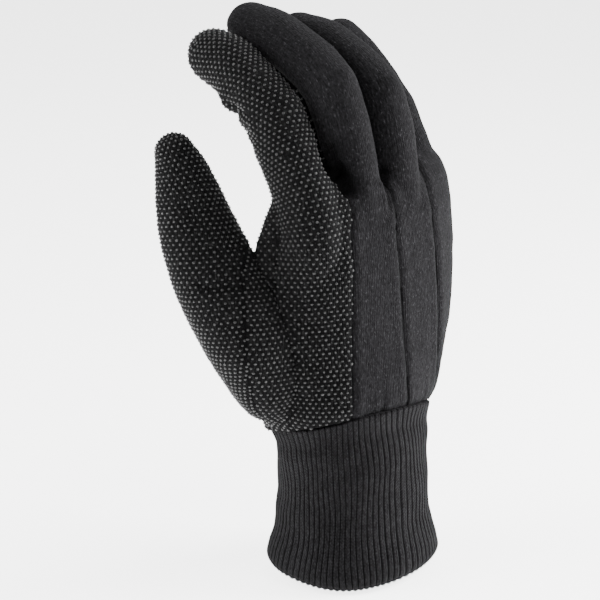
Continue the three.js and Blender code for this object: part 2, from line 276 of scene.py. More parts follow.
def vertexNormals(points, tris):
    a, b, c = (points[tris[:, i]] for i in range(3))
    faceNormals = np.cross(b - a, c - a)
    normals = np.zeros_like(points)
    for i in range(3):
        np.add.at(normals, tris[:, i], faceNormals)
    return normals / np.maximum(np.linalg.norm(normals, axis=1, keepdims=True), 1e-9)


def smoothed(values, tris, times, strength=0.5):
    edges = np.unique(np.sort(np.vstack([tris[:, [0, 1]], tris[:, [1, 2]], tris[:, [2, 0]]]), axis=1), axis=0)
    count = np.bincount(edges.ravel(), minlength=len(values)).astype(float)
    shape = (-1,) + (1,) * (values.ndim - 1)
    for _ in range(times):
        total = np.zeros_like(values)
        np.add.at(total, edges[:, 0], values[edges[:, 1]])
        np.add.at(total, edges[:, 1], values[edges[:, 0]])
        values = values + (total / np.maximum(count, 1).reshape(shape) - values) * strength
    return values


def buildForm():
    points = []
    faces = []
    loftMesh(handLoft(), points, faces)
    xAxis = np.array([1.0, 0, 0])
    for finger in fingers.values():
        table = [
            (place / 4, width * finger["halfWidth"], palm * finger["halfDepth"], back * finger["halfDepth"])
            for place, width, palm, back in fingerSections
        ]
        loftMesh(digitLoft(fingerLine(finger), table, xAxis), points, faces)
    thumbAxis = -np.array([math.cos(thumbAngle), math.sin(thumbAngle), 0])
    for rows in (thumbRows, webRows):
        rows = np.array(rows, float)
        table = np.column_stack([np.linspace(0, 1, len(rows)), rows[:, 3:]])
        loftMesh(digitLoft(rows[:, :3], table, thumbAxis), points, faces)
    form = meshObject("glove_form", np.vstack(points), faces)
    remesh = form.modifiers.new("skin", "REMESH")
    remesh.mode = "VOXEL"
    remesh.voxel_size = skin["voxel"] * mm
    bake(form)
    return form


# Keeps the largest connected part of a mesh.
def largestPart(points, tris, extra):
    group = np.arange(len(points))
    while True:
        least = group.copy()
        for i, j in ((0, 1), (1, 2), (2, 0)):
            np.minimum.at(least, tris[:, i], group[tris[:, j]])
            np.minimum.at(least, tris[:, j], group[tris[:, i]])
        least = least[least]
        if (least == group).all():
            break
        group = least
    tris = tris[group[tris[:, 0]] == np.bincount(group[tris[:, 0]]).argmax()]
    used, flat = np.unique(tris, return_inverse=True)
    return points[used], flat.reshape(-1, 3), {name: values[used] for name, values in extra.items()}


# How far each vertex lies from every sewn piece of the part.
def nodeDistances(points):
    distances = {}
    for name in ("palm_panel", "thumb_panel", "middle_back_panel", "ring_back_panel", "little_back_panel"):
        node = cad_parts[name]
        corners, tris = meshArrays(node.data)
        matrix = np.array(node.matrix_world)
        corners = corners @ matrix[:3, :3].T + matrix[:3, 3] / mm - handAt
        tree = BVHTree.FromPolygons(corners.tolist(), tris.tolist())
        distances[name] = np.array([tree.find_nearest(Vector(p))[3] for p in points])
    return distances


# Keeps the part of a mesh where the field is below zero, with a clean edge along its zero line.
def clip(points, tris, field, extra):
    inside = field < 0
    mixed = inside[tris].any(axis=1) & ~inside[tris].all(axis=1)
    kept = [tris[inside[tris].all(axis=1)]]
    points = list(points)
    extra = {name: list(values) for name, values in extra.items()}
    made = {}

    def cut(a, b):
        key = (min(a, b), max(a, b))
        if key not in made:
            t = field[a] / (field[a] - field[b])
            made[key] = len(points)
            points.append(points[a] + (points[b] - points[a]) * t)
            for values in extra.values():
                values.append(values[a] + (values[b] - values[a]) * t)
        return made[key]

    extraTris = []
    for tri in tris[mixed]:
        while not (inside[tri[0]] != inside[tri[1]] and inside[tri[0]] != inside[tri[2]]):
            tri = np.roll(tri, 1)
        a, b, c = tri
        ab = cut(a, b)
        ac = cut(a, c)
        if inside[a]:
            extraTris.append((a, ab, ac))
        else:
            extraTris += [(ab, b, c), (ab, c, ac)]
    if extraTris:
        kept.append(np.array(extraTris))
    tris = np.vstack(kept)
    used, flat = np.unique(tris, return_inverse=True)
    points = np.array(points)[used]
    extra = {name: np.array(values)[used] for name, values in extra.items()}
    return points, flat.reshape(-1, 3), extra


print("form")
form = buildForm()
skinPoints, skinTris = meshArrays(form.data)
bpy.data.objects.remove(form)
skinPoints = smoothed(skinPoints, skinTris, skin["smoothing"])
skinPoints += vertexNormals(skinPoints, skinTris) * skin["inset"]
print("skin", len(skinPoints), len(skinTris))
distances = nodeDistances(skinPoints)


# The plain cloth reaches further down that side of the middle finger which faces the forefinger.
def sideReach(points):
    line, width = fingerLine(fingers["middle"]), np.array([1.0, 0, 0])
    centres = np.array([axesAt(line, t, width)[0] for t in np.linspace(0.3, 1, 60)])
    gaps = np.linalg.norm(points[:, None] - centres[None], axis=2)
    near = np.clip((sideCloth["near"] - gaps.min(axis=1)) / sideCloth["nearFade"], 0, 1)
    facing = np.clip((points[:, 0] - centres[gaps.argmin(axis=1), 0]) / sideCloth["facing"], 0, 1)
    return near * facing * np.clip((points[:, 2] - sideCloth["from"]) / sideCloth["fade"], 0, 1)


distances["middle_back_panel"] -= sideCloth["reach"] * sideReach(skinPoints)


# Cloth panels

# The cut that opens a round panel for laying flat: digit, side, height on it, and where from.
panels = {
    "palm_panel": {
        "look": "dotted", "cut": ("index", -1, 4.5, 0.2), "digits": ("index", "middle", "ring", "little"),
    },
    "thumb_panel": {"look": "dotted", "cut": ("thumb", 1, 0, 0.45), "digits": ("thumb",)},
    "middle_back_panel": {"look": "plain", "cut": None, "digits": ("middle",)},
    "ring_back_panel": {"look": "plain", "cut": None, "digits": ("ring",)},
    "little_back_panel": {"look": "plain", "cut": None, "digits": ("little",)},
}

# The grain turns from straight up to along the digit over a stretch above the palm.
flatting = {
    "faces": 3400, "steps": 6, "rounds": 400, "relax": 0.7, "least": 0.02, "most": 4,
    "from": 136, "over": 24, "cutReach": 22, "tipFrom": 0.99,
}
dots = {
    "across": 2.5, "along": 1.8, "radius": 0.55, "height": 0.45, "sides": 6, "stretch": (1.02, 0.84, 1),
    "profile": ((1, -0.1), (0.9, 0.62), (0.55, 0.93)),
    "clear": 0.15, "stray": 0.1, "uneven": 0.2, "apart": 12, "seed": 11,
}

wristField = waveHeight(wrist, wristAngle(skinPoints)) - skinPoints[:, 2]
nearest = np.sort(np.column_stack(list(distances.values())), axis=1)
seamDistance = nearest[:, 1] - nearest[:, 0]
dottedNear = np.minimum(distances["palm_panel"], distances["thumb_panel"])
plainNear = np.min([d for name, d in distances.items() if name not in ("palm_panel", "thumb_panel")], axis=0)


# Presses the seams in and lets the cloth stand up beside them. The thumb's seam, dotted on both
# sides, is shallow, and the thicker dotted cloth stands proud of the plain one.
def seamRelief(distance):
    share = np.clip((plainNear - dottedNear) / seams["sameReach"], 0, 1)
    depth = 1 - (1 - seams["sameCloth"]) * share
    groove = -seams["groove"] * np.exp(-(distance / seams["grooveWidth"]) ** 2)
    lip = seams["lip"] * np.exp(-((distance - seams["lipAt"]) / seams["lipWidth"]) ** 2)
    edge = seams["proud"] * (dottedNear < plainNear) * np.exp(-(distance / seams["proudWidth"]) ** 2)
    edge = edge * (1 - share)
    turnedIn = -seams["hem"] * np.exp(-(wristField / seams["hemReach"]) ** 2)
    return (groove + lip) * depth + edge + turnedIn


# Folds of the worn cloth: height (below zero a crease), width, and the line that it follows.
# A point of two numbers is a pixel of the view named, and one of three is a place in
# millimetres, mostly on a side that the view hides or shows only edge on.
folds = {
    "index_joint": (-3.0, 2.3, None, [
        (19.5, -18, 176), (20.5, -24.5, 178), (22.1, -30, 179.5), (25.8, -33, 179.5), (31, -36, 182),
        (36.6, -34.5, 186), (38.3, -27.5, 186.8), (38.9, -22, 186),
    ]),
    "index_overhang": (1.9, 3.0, None, [
        (22, -34, 184), (27, -38, 184), (32, -40.5, 187), (37, -38.5, 191),
    ]),
    "index_tuck": (-1.0, 1.8, None, [(30, -29, 175), (36.5, -28, 179.5), (39, -22.5, 180.5)]),
    "index_second": (-0.8, 1.8, None, [(33, -24, 171), (37.5, -23, 176.3), (39.3, -17.5, 178)]),
    "index_ridge": (1.7, 3.0, "palm", [(130, 181), (138, 200), (149, 228), (160, 258)]),
    "index_valley": (-1.7, 3.2, "palm", [(148, 176), (156, 194), (166, 215), (34, -22, 135)]),
    "middle_root": (-2.2, 2.5, "palm", [
        (10.5, -19.5, 172), (4.5, -18.5, 172), (2.5, -14, 169), (89, 176), (95, 190), (104, 202), (122, 220),
    ]),
    "middle_bulge": (1.3, 3.6, None, [(9, -14, 165), (9.5, -13, 158), (13, -13.5, 150)]),
    "ring_ridge": (1.6, 2.6, "palm", [(0.5, -12, 172), (83, 175), (86, 205), (88, 237)]),
    "ring_valley": (-1.4, 3.2, "palm", [(-13.5, -15, 167), (62, 195), (68, 215), (73, 238)]),
    "little_root": (-1.9, 2.3, "palm", [
        (-10, -18, 171.5), (-15, -16.5, 169.5), (-18, -13.5, 167), (43, 185), (46, 205), (54, 213),
    ]),
    "palm_curve": (0.8, 2.6, None, [(-13, -15, 147), (-19, -17.5, 140), (-19.5, -20, 131)]),
    "thumb_valley": (-0.9, 3.2, "palm", [(243, 152), (233, 175), (221, 205), (208, 230)]),
    "thumb_crease": (-0.8, 1.5, "back", [(353, 203), (361, 214), (370, 226)]),
    "thumb_base": (-1.3, 1.8, "back", [
        (354, 284), (366, 284), (378, 289), (392, 290), (406, 288), (419, 285),
    ]),
    "thumb_roll": (0.9, 3.0, None, [(66, -19, 131), (62, -13.5, 131), (57, -10, 132)]),
    "root_fill": (2.6, 5.5, "back", [
        (43.5, -9.5, 136), (440, 262), (447, 283), (454, 310), (459, 333), (466, 360), (470, 387), (472, 407),
    ]),
    "middle_hollow": (-2.4, 6.5, "back", [(19, -3, 176), (500, 150), (505, 165), (509, 180)]),
    "middle_pit": (-3.2, 3.8, "back", [(18.5, 1, 168), (519, 180), (521, 190), (523, 200)]),
    "seam_tuck": (-1.8, 1.6, "back", [(-4, 5, 166), (556, 170), (560, 190), (563, 205), (564, 217)]),
    "seam_roll": (1.4, 2.2, "back", [(551, 180), (555, 195), (558, 210)]),
}
relaxed = {
    "knuckle": 1.6, "knuckleWidth": 5, "wave": 0.42, "waveSize": 15, "ripple": 0.16, "rippleSize": 5.5,
    "gather": 0.32, "gatherReach": 8, "gatherCounts": (19, 27, 38, 53), "deepest": 3.2,
    "flatter": 0.6, "turnedAway": 2.5, "endFade": 0.22, "endShare": 0.12,
}


# Right, back (towards the viewer) and up, for a view from an azimuth and an elevation.
def viewAxes(azimuth, elevation):
    az = math.radians(azimuth)
    el = math.radians(elevation)
    right = Vector((math.cos(az), math.sin(az), 0))
    back = Vector((math.sin(az) * math.cos(el), -math.cos(az) * math.cos(el), math.sin(el)))
    return right, back, back.cross(right)


# How far a pixel lies from the middle of the picture, in millimetres at the glove.
def pixelAside(pixel, right, up):
    half = view["imageSize"] / 2
    return (right * (pixel[0] - half) - up * (pixel[1] - half)) * view["scale"]


# Where the camera of one of the photograph's views stood, in millimetres.
def shotPlace(shot):
    right, back, up = viewAxes(shots[shot]["azimuth"], view["elevation"])
    return back * view["distance"] - pixelAside(shots[shot]["originPixel"], right, up)


# The place on the skin that a pixel of the photograph shows.
def seenPlace(tree, shot, pixel):
    right, back, up = viewAxes(shots[shot]["azimuth"], view["elevation"])
    way = pixelAside(pixel, right, up) - back * view["distance"]
    return tree.ray_cast(shotPlace(shot) - Vector(handAt), way.normalized())[0]


# A fold's line as places in millimetres.
def foldLine(tree, shot, line):
    return [point if len(point) == 3 else seenPlace(tree, shot, point) for point in line]


# Heights along one fold, faded out at both of its ends and on cloth that faces another way.
def foldHeight(points, normals, height, width, line):
    line = np.array(line, float)
    starts, steps = line[:-1], np.diff(line, axis=0)
    lengths = np.linalg.norm(steps, axis=1)
    before = np.concatenate([[0], np.cumsum(lengths)[:-1]])
    near = np.linalg.norm(points - line.mean(axis=0), axis=1) < lengths.sum() / 2 + 4 * width
    index = np.flatnonzero(near)
    offset = points[index, None] - starts[None]
    share = np.clip((offset * steps).sum(2) / lengths ** 2, 0, 1)
    gap = np.linalg.norm(offset - steps * share[..., None], axis=2)
    k = gap.argmin(axis=1)
    rows = np.arange(len(index))
    along = (before[k] + share[rows, k] * lengths[k]) / lengths.sum()
    gap = gap[rows, k]
    facing = normals[index[gap < width]].mean(axis=0)
    fade = np.clip(normals[index] @ (facing / np.linalg.norm(facing)) * relaxed["turnedAway"], 0, 1)
    ends = np.clip(np.minimum(along, 1 - along) / relaxed["endFade"] + relaxed["endShare"], 0, 1)
    result = np.zeros(len(points))
    result[index] = height * np.exp(-(gap / width) ** 2) * fade * ends
    return result


def foldRelief(points, normals):
    relief = np.zeros(len(points))
    tree = BVHTree.FromPolygons(points.tolist(), skinTris.tolist())
    for height, width, shot, line in folds.values():
        relief += foldHeight(points, normals, height, width, foldLine(tree, shot, line))
    for finger in fingers.values():
        centre, along, across, up = axesAt(fingerLine(finger), 0.5, np.array([1.0, 0, 0]))
        top = centre + up * finger["halfDepth"]
        gap = np.linalg.norm(points - top, axis=1)
        relief += relaxed["knuckle"] * np.exp(-(gap / relaxed["knuckleWidth"]) ** 2)
    waves = [
        relaxed["wave"] * noise.noise(Vector((x, y, z * relaxed["flatter"])) / relaxed["waveSize"])
        + relaxed["ripple"] * noise.noise(Vector((x, y, z)) / relaxed["rippleSize"])
        for x, y, z in points
    ]
    angle = wristAngle(points)
    phases = np.random.default_rng(skin["seed"]).uniform(0, 2 * np.pi, len(relaxed["gatherCounts"]))
    gathers = sum(np.sin(angle * n + phase) for n, phase in zip(relaxed["gatherCounts"], phases)) / 2
    reach = np.exp(-np.maximum(points[:, 2] - waveHeight(wrist, angle), 0) / relaxed["gatherReach"])
    return relief + np.array(waves) + relaxed["gather"] * gathers * reach


normals = vertexNormals(skinPoints, skinTris)
foldsOnly = foldRelief(skinPoints, normals)
# Painted shade: the deeper a fold presses the cloth in, the darker the jersey is painted there.
paintedCreaseShade = np.clip(-foldsOnly / relaxed["deepest"], 0, 1)
relief = seamRelief(seamDistance) + foldsOnly
shaped = skinPoints + normals * relief[:, None]


# The way the cloth's grain runs: up the hand, and along a digit past its root.
def grainWay(points, digits):
    best = np.full(len(points), 1e9)
    way = np.zeros((len(points), 3))
    for line, width in digits:
        stations = np.linspace(0, 1, 80)
        axes = [axesAt(line, t, width) for t in stations]
        centres = np.array([a[0] for a in axes])
        alongs = np.array([a[1] for a in axes])
        gaps = np.linalg.norm(points[:, None] - centres[None], axis=2)
        k = gaps.argmin(axis=1)
        closer = gaps[np.arange(len(points)), k] < best
        best = np.where(closer, gaps.min(axis=1), best)
        way[closer] = alongs[k[closer]]
    share = np.clip((points[:, 2] - flatting["from"]) / flatting["over"], 0, 1)[:, None]
    way = way * share + np.array([0, 0, 1.0]) * (1 - share)
    return way / np.linalg.norm(way, axis=1, keepdims=True)


# Solves a net of springs for the pull on its knots, by conjugate gradients.
def springSolve(starts, stops, stiffness, pull, at):
    def spread(x):
        tension = stiffness * (x[stops] - x[starts])
        return (np.bincount(stops, tension, len(x)) - np.bincount(starts, tension, len(x))) + 1e-7 * x

    result = at.copy()
    for axis in range(at.shape[1]):
        x = at[:, axis].copy()
        rest = pull[:, axis] - spread(x)
        way = rest.copy()
        size = rest @ rest
        for _ in range(flatting["rounds"]):
            moved = spread(way)
            step = size / (way @ moved)
            x += step * way
            rest -= step * moved
            fresh = rest @ rest
            if fresh < 1e-8:
                break
            way = rest + way * (fresh / size)
            size = fresh
        result[:, axis] = x
    return result


# Flattens a mesh with as little stretch as its shape allows, its grain kept upright.
def layFlat(corners, tris, way):
    ends = [(tris[:, (i + 1) % 3], tris[:, (i + 2) % 3]) for i in range(3)]
    edges = [corners[b] - corners[a] for a, b in ends]
    normal = np.cross(edges[0], edges[1])
    double = np.linalg.norm(normal, axis=1, keepdims=True)
    normal /= double
    across = np.cross(way, normal)
    across /= np.linalg.norm(across, axis=1, keepdims=True)
    upward = np.cross(normal, across)
    goals = [np.column_stack([(e * across).sum(1), (e * upward).sum(1)]) for e in edges]
    slants = [-(edges[(i + 1) % 3] * edges[(i + 2) % 3]).sum(1) / double[:, 0] / 2 for i in range(3)]
    weights = [np.clip(slant, flatting["least"], flatting["most"]) for slant in slants]
    starts = np.concatenate([a for a, b in ends])
    stops = np.concatenate([b for a, b in ends])
    stiffness = np.concatenate(weights)
    turn = np.zeros(len(tris))
    flat = np.zeros((len(corners), 2))
    for _ in range(flatting["steps"]):
        pull = np.zeros((len(corners), 2))
        c, s = np.cos(turn), np.sin(turn)
        for (a, b), w, g in zip(ends, weights, goals):
            step = np.column_stack([c * g[:, 0] - s * g[:, 1], s * g[:, 0] + c * g[:, 1]]) * w[:, None]
            np.add.at(pull, b, step)
            np.add.at(pull, a, -step)
        flat = springSolve(starts, stops, stiffness, pull, flat)
        dot = np.zeros(len(tris))
        cross = np.zeros(len(tris))
        for (a, b), w, g in zip(ends, weights, goals):
            d = flat[b] - flat[a]
            dot += w * (d * g).sum(1)
            cross += w * (g[:, 0] * d[:, 1] - g[:, 1] * d[:, 0])
        turn = np.arctan2(cross, dot) * flatting["relax"]
    return flat


# Lays a panel flat on a coarse copy, and gives every corner of the fine mesh its place there.
def flatPlaces(name, points, tris, panel):
    coarse = meshObject(name + "_flat", points, tris, 1)
    shrink = coarse.modifiers.new("coarse", "DECIMATE")
    shrink.ratio = min(1, flatting["faces"] / len(tris))
    shrink.use_collapse_triangulate = True
    bake(coarse)
    if panel["cut"]:
        cutOpen(coarse.data, *panel["cut"])
    corners, coarseTris = meshArrays(coarse.data)
    corners = corners * mm
    bpy.data.objects.remove(coarse)
    p = corners[coarseTris]
    flat = layFlat(corners, coarseTris, grainWay(p.mean(axis=1), [digitLine(d) for d in panel["digits"]]))
    uv = flat[coarseTris]
    tree = BVHTree.FromPolygons(corners.tolist(), coarseTris.tolist())
    nearestFace = np.array([tree.find_nearest(Vector(q))[2] for q in points[tris].mean(axis=1)])
    places = np.empty((len(tris), 3, 2))
    a, b, c = (p[nearestFace, i] for i in range(3))
    ua, ub, uc = (uv[nearestFace, i] for i in range(3))
    e1, e2 = b - a, c - a
    d11, d12, d22 = ((x * y).sum(1) for x, y in ((e1, e1), (e1, e2), (e2, e2)))
    scale = np.maximum(d11 * d22 - d12 * d12, 1e-9)
    for i in range(3):
        q = points[tris[:, i]] - a
        q1, q2 = (q * e1).sum(1), (q * e2).sum(1)
        w1 = (d22 * q1 - d12 * q2) / scale
        w2 = (d11 * q2 - d12 * q1) / scale
        places[:, i] = ua + (ub - ua) * w1[:, None] + (uc - ua) * w2[:, None]
    size = np.ptp(uv.reshape(-1, 2), axis=0)
    area = np.linalg.norm(np.cross(p[:, 1] - p[:, 0], p[:, 2] - p[:, 0]), axis=1).sum() / 2
    print(name, "flat size", size.round(), "area", round(area))
    return places, size, area


def digitLine(digit):
    if digit == "thumb":
        width = -np.array([math.cos(thumbAngle), math.sin(thumbAngle), 0])
        return np.array(thumbRows, float)[:, :3], width
    return fingerLine(fingers[digit]), np.array([1.0, 0, 0])


# Cuts a coarse panel open along one side of a digit and over its tip.
def cutOpen(mesh, digit, side, rise, start):
    line, width = digitLine(digit)
    stations = np.linspace(0, 1, 60)
    axes = [axesAt(line, t, width) for t in stations]
    centres = np.array([a[0] for a in axes])
    work = bmesh.new()
    work.from_mesh(mesh)
    state = {}
    for face in work.faces:
        q = np.array(face.calc_center_median())
        k = int(np.argmin(((centres - q) ** 2).sum(1)))
        offset = q - centres[k]
        state[face.index] = (stations[k], offset @ axes[k][2], offset @ axes[k][3], np.linalg.norm(offset))
    cuts = []
    for edge in work.edges:
        if len(edge.link_faces) != 2:
            continue
        (ta, aa, ua, ra), (tb, ab, ub, rb) = (state[f.index] for f in edge.link_faces)
        if min(ta, tb) < start or max(ra, rb) > flatting["cutReach"] or (ua < rise) == (ub < rise):
            continue
        if (aa + ab) * side > 0 or min(ta, tb) > flatting["tipFrom"]:
            cuts.append(edge)
    bmesh.ops.split_edges(work, edges=cuts)
    work.to_mesh(mesh)
    work.free()


def panelPieces():
    pieces = {}
    for name, look in panels.items():
        others = [d for other, d in distances.items() if other != name]
        field = distances[name] - np.min(others, axis=0)
        extra = {"base": skinPoints, "seam": seamDistance, "wrist": wristField, "painted_crease_shade": paintedCreaseShade}
        points, tris, extra = clip(shaped, skinTris, field, extra)
        points, tris, extra = clip(points, tris, extra["wrist"], extra)
        points, tris, extra = largestPart(points, tris, extra)
        pieces[name] = (points, tris, extra)
        print(name, len(points), len(tris))
    return pieces


# A small step aside for each dot, the same whenever the dot is met.
def strayStep(row, column):
    turn = np.sin(row * 12.9898 + column * 78.233) * 43758.5453
    slant = np.sin(row * 39.346 + column * 11.135) * 24634.6345
    return (np.column_stack([turn % 1, slant % 1]) - 0.5) * 2 * dots["stray"]


# Places a staggered lattice of dots on the laid-flat cloth.
def dotPlaces(points, tris, places, seam):
    normals = vertexNormals(points, tris)
    centre = places.mean(axis=1)
    found = {}
    for shift in (0, 1):
        row = np.floor(centre[:, 1] / dots["along"]).astype(int) + shift
        offset = np.where(row % 2, 0.5, 0.0)
        column = np.round(centre[:, 0] / dots["across"] - offset).astype(int)
        target = np.column_stack([(column + offset) * dots["across"], row * dots["along"]])
        target = target + strayStep(row, column)
        a, b, c = (places[:, i] for i in range(3))
        e1, e2, q = b - a, c - a, target - a
        scale = e1[:, 0] * e2[:, 1] - e1[:, 1] * e2[:, 0]
        scale = np.where(abs(scale) < 1e-9, 1e-9, scale)
        w1 = (q[:, 0] * e2[:, 1] - q[:, 1] * e2[:, 0]) / scale
        w2 = (e1[:, 0] * q[:, 1] - e1[:, 1] * q[:, 0]) / scale
        w0 = 1 - w1 - w2
        hit = (w0 >= 0) & (w1 >= 0) & (w2 >= 0)
        for k in np.flatnonzero(hit):
            weights = np.array([w0[k], w1[k], w2[k]])
            corners = tris[k]
            if weights @ seam[corners] < dots["clear"]:
                continue
            across = points[corners[1]] - points[corners[0]], points[corners[2]] - points[corners[0]]
            tangent = (across[0] * e2[k, 1] - across[1] * e1[k, 1]) / scale[k]
            key = (row[k], column[k], int(points[corners[0]][1] // dots["apart"]))
            found[key] = (weights @ points[corners], weights @ normals[corners], tangent)
    return [np.array(part) for part in zip(*found.values())]


# One raised dot: a low dome of printed plastic on a short straight wall.
def dotMesh():
    points = []
    faces = []
    sides = dots["sides"]
    for share, height in dots["profile"]:
        for i in range(sides):
            turn = 2 * math.pi * i / sides
            points.append((math.cos(turn) * dots["radius"] * share, math.sin(turn) * dots["radius"] * share,
                           dots["height"] * height))
    points.append((0, 0, dots["height"]))
    for k in range(2):
        for i in range(sides):
            j = (i + 1) % sides
            faces.append((k * sides + i, k * sides + j, (k + 1) * sides + j, (k + 1) * sides + i))
    for i in range(sides):
        faces.append((2 * sides + i, 2 * sides + (i + 1) % sides, 3 * sides))
    return meshObject("one_dot", points, faces)


# Geometry nodes that set a dot on every point of a cloud, along its stored directions.
def dotTree(dot, material):
    tree = bpy.data.node_groups.new("raised_dots", "GeometryNodeTree")
    tree.interface.new_socket("Geometry", in_out="INPUT", socket_type="NodeSocketGeometry")
    seed = tree.interface.new_socket("Seed", in_out="INPUT", socket_type="NodeSocketInt")
    uneven = tree.interface.new_socket("Unevenness", in_out="INPUT", socket_type="NodeSocketFloat")
    tree.interface.new_socket("Geometry", in_out="OUTPUT", socket_type="NodeSocketGeometry")
    add = tree.nodes.new
    link = tree.links.new
    given = add("NodeGroupInput")
    out = add("NodeGroupOutput")
    shape = add("GeometryNodeObjectInfo")
    shape.inputs["Object"].default_value = dot
    upright = add("GeometryNodeInputNamedAttribute")
    upright.data_type = "FLOAT_VECTOR"
    upright.inputs["Name"].default_value = "outwards"
    sideways = add("GeometryNodeInputNamedAttribute")
    sideways.data_type = "FLOAT_VECTOR"
    sideways.inputs["Name"].default_value = "sideways"
    turn = add("FunctionNodeAxesToRotation")
    link(upright.outputs["Attribute"], turn.inputs["Primary Axis"])
    link(sideways.outputs["Attribute"], turn.inputs["Secondary Axis"])
    size = add("FunctionNodeRandomValue")
    size.data_type = "FLOAT_VECTOR"
    smallest = add("ShaderNodeVectorMath")
    smallest.operation = "SUBTRACT"
    smallest.inputs[0].default_value = dots["stretch"]
    largest = add("ShaderNodeVectorMath")
    largest.inputs[0].default_value = dots["stretch"]
    link(given.outputs["Unevenness"], smallest.inputs[1])
    link(given.outputs["Unevenness"], largest.inputs[1])
    link(smallest.outputs[0], size.inputs["Min"])
    link(largest.outputs[0], size.inputs["Max"])
    link(given.outputs["Seed"], size.inputs["Seed"])
    place = add("GeometryNodeInstanceOnPoints")
    link(given.outputs["Geometry"], place.inputs["Points"])
    link(shape.outputs["Geometry"], place.inputs["Instance"])
    link(turn.outputs["Rotation"], place.inputs["Rotation"])
    link(size.outputs["Value"], place.inputs["Scale"])
    real = add("GeometryNodeRealizeInstances")
    link(place.outputs["Instances"], real.inputs["Geometry"])
    paint = add("GeometryNodeSetMaterial")
    paint.inputs["Material"].default_value = material
    link(real.outputs["Geometry"], paint.inputs["Geometry"])
    link(paint.outputs["Geometry"], out.inputs["Geometry"])
    return tree, seed.identifier, uneven.identifier


def dotCloud(name, found, material):
    points, outwards, sideways = found
    cloud = meshObject(name, points + handAt, [])
    for label, values in (("outwards", outwards), ("sideways", sideways)):
        layer = cloud.data.attributes.new(label, "FLOAT_VECTOR", "POINT")
        layer.data.foreach_set("vector", np.asarray(values, np.float32).ravel())
    dot = dotMesh()
    tree, seed, uneven = dotTree(dot, material)
    setter = cloud.modifiers.new("dots", "NODES")
    setter.node_group = tree
    setter[seed] = dots["seed"]
    setter[uneven] = dots["uneven"]
    bake(cloud)
    bpy.data.objects.remove(dot)
    for polygon in cloud.data.polygons:
        polygon.use_smooth = True
    print(name, len(points), "dots")
    return cloud


def clothObject(name, points, tris, places, extra, material):
    cloth = meshObject(name, points + handAt, tris)
    layer = cloth.data.uv_layers.new(name="grain")
    layer.data.foreach_set("uv", (places.reshape(-1, 2) * mm).astype(np.float32).ravel())
    for label in ("seam", "painted_crease_shade"):
        worn = cloth.data.attributes.new(label, "FLOAT", "POINT")
        worn.data.foreach_set("value", extra[label].astype(np.float32))
    for polygon in cloth.data.polygons:
        polygon.use_smooth = True
    wall = cloth.modifiers.new("wall", "SOLIDIFY")
    wall.thickness = skin["wall"] * mm
    wall.offset = -1
    wall.use_quality_normals = True
    bake(cloth)
    cloth.data.materials.append(material)
    return cloth


# Cuff with double ribs, a rolled rim and a plain inside

# Sways and slumps are waves: turns up the cuff, turns round it, and their share or their start.
cuff = {
    "ribs": 78, "samples": 8, "levels": 84, "wall": 2.4, "gap": 0.2, "flat": (0.197, 0.065), "courses": 820,
    "depth": 0.75, "uneven": 0.3, "valleyWidth": 0.62, "split": 0.12, "splitWidth": 0.5,
    "rimRounding": 1.3, "rimFade": 22, "scallop": 0.22, "scallopFade": 12,
    "neck": 0.5, "neckAt": 0.88, "shoulder": 0.7, "neckWidth": 0.05,
    "wobble": 1.3, "radius": 34, "sways": ((5.1, 3, 0.5), (11, -5, 0.25)), "twist": 0.03,
    "slump": 0.16, "slumps": ((13, 2, 0), (21, -3, 1), (8, 7, 0)),
}


def cuffSize(z):
    table = np.array(cuffRows, float)
    return [np.interp(z, table[:, 0], table[:, i]) for i in range(1, 5)]


def ribProfile(turn):
    place = np.angle(np.exp(1j * turn))
    valley = np.exp(-((np.pi - abs(place)) / cuff["valleyWidth"]) ** 2)
    split = np.exp(-(place / cuff["splitWidth"]) ** 2)
    return -valley - cuff["split"] * split


